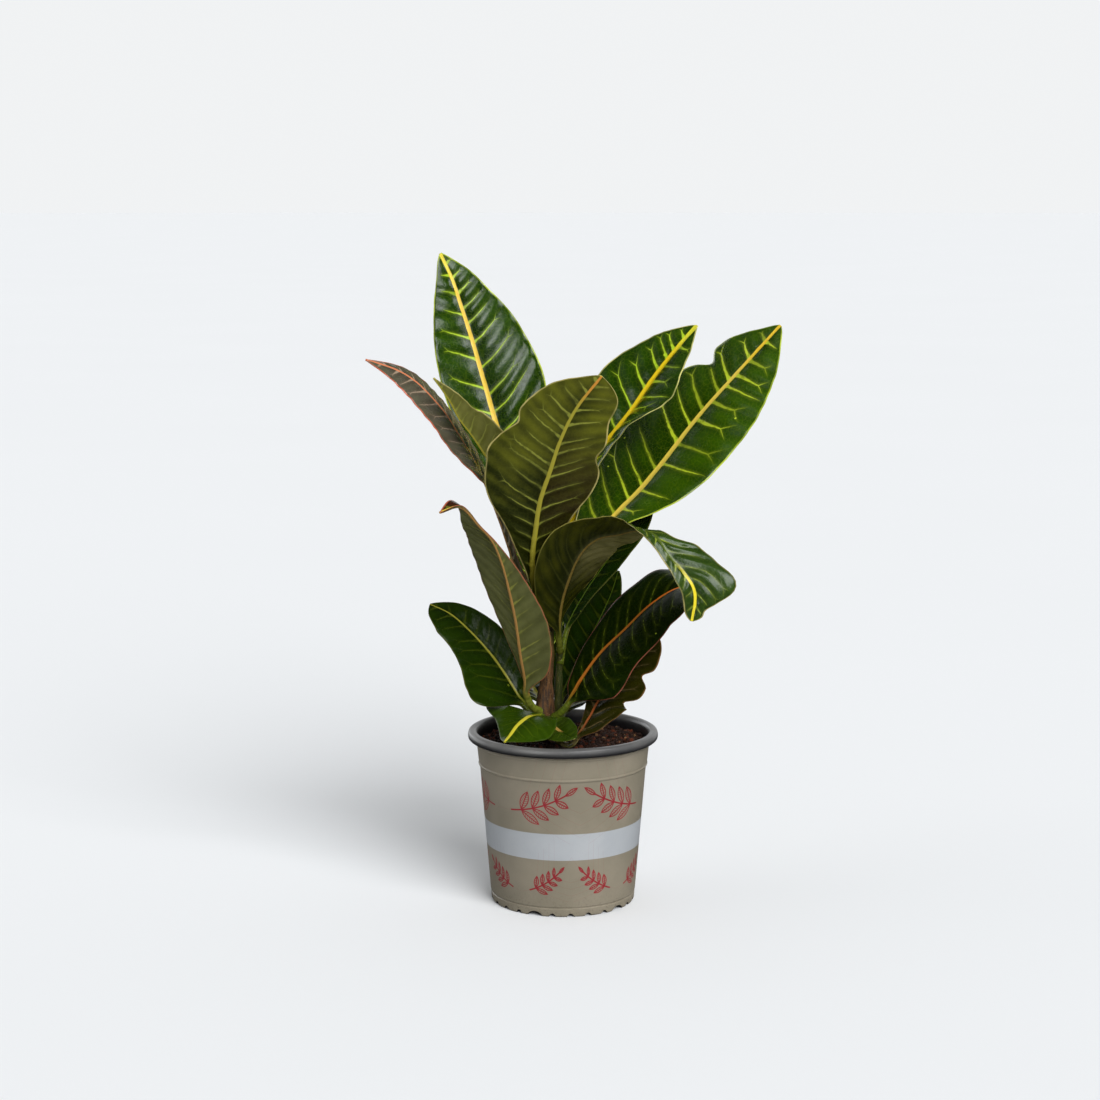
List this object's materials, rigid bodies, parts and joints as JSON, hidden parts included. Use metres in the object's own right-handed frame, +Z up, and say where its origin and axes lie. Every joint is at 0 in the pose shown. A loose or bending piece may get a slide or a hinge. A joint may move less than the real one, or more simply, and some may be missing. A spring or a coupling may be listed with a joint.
{
  "type": "potted croton",
  "caption": "Young broad-leaved croton with variegated leaves on short stems, growing in soil in a round plastic nursery pot.",
  "frame": {"origin": "on the surface that the pot stands on, under the middle of the whole plant's bounding box", "axes": "+Z up along the pot's axis; -Y towards the front, where the picture was taken from; +X to the right of that view"},
  "size_m": [0.2588, 0.1594, 0.4064],
  "materials": {
    "pot": "smooth satin",
    "soil": "loose crumbs",
    "stem": "streaked bark",
    "side_stem": "smooth young bark",
    "leaf_green": "glossy, with yellow veins",
    "leaf_dark": "glossy, with orange and yellow veins",
    "leaf_bronze": "satin, with orange veins",
    "leaf_olive": "satin underside, with pale veins"
  },
  "bodies": {
    "root": {"pot": "pot", "soil": "soil", "stem": "stem", "side_stem": "side_stem", "leaf_crown": "leaf_green", "leaf_far_left": "leaf_bronze", "leaf_folded": "leaf_olive", "leaf_front_tall": "leaf_olive", "leaf_upper_right": "leaf_green", "leaf_broad_right": "leaf_green", "leaf_arching": "leaf_olive", "leaf_behind_arch": "leaf_dark", "leaf_curled": "leaf_olive", "leaf_low_left": "leaf_dark", "leaf_over_rim": "leaf_green", "leaf_small_front": "leaf_green", "leaf_dark_right": "leaf_dark", "leaf_narrow_right": "leaf_dark", "leaf_wavy": "leaf_bronze", "leaf_back_high": "leaf_green", "leaf_back_left": "leaf_dark", "leaf_back_right": "leaf_dark", "leaf_back_rising": "leaf_green"}
  },
  "joints": []
}
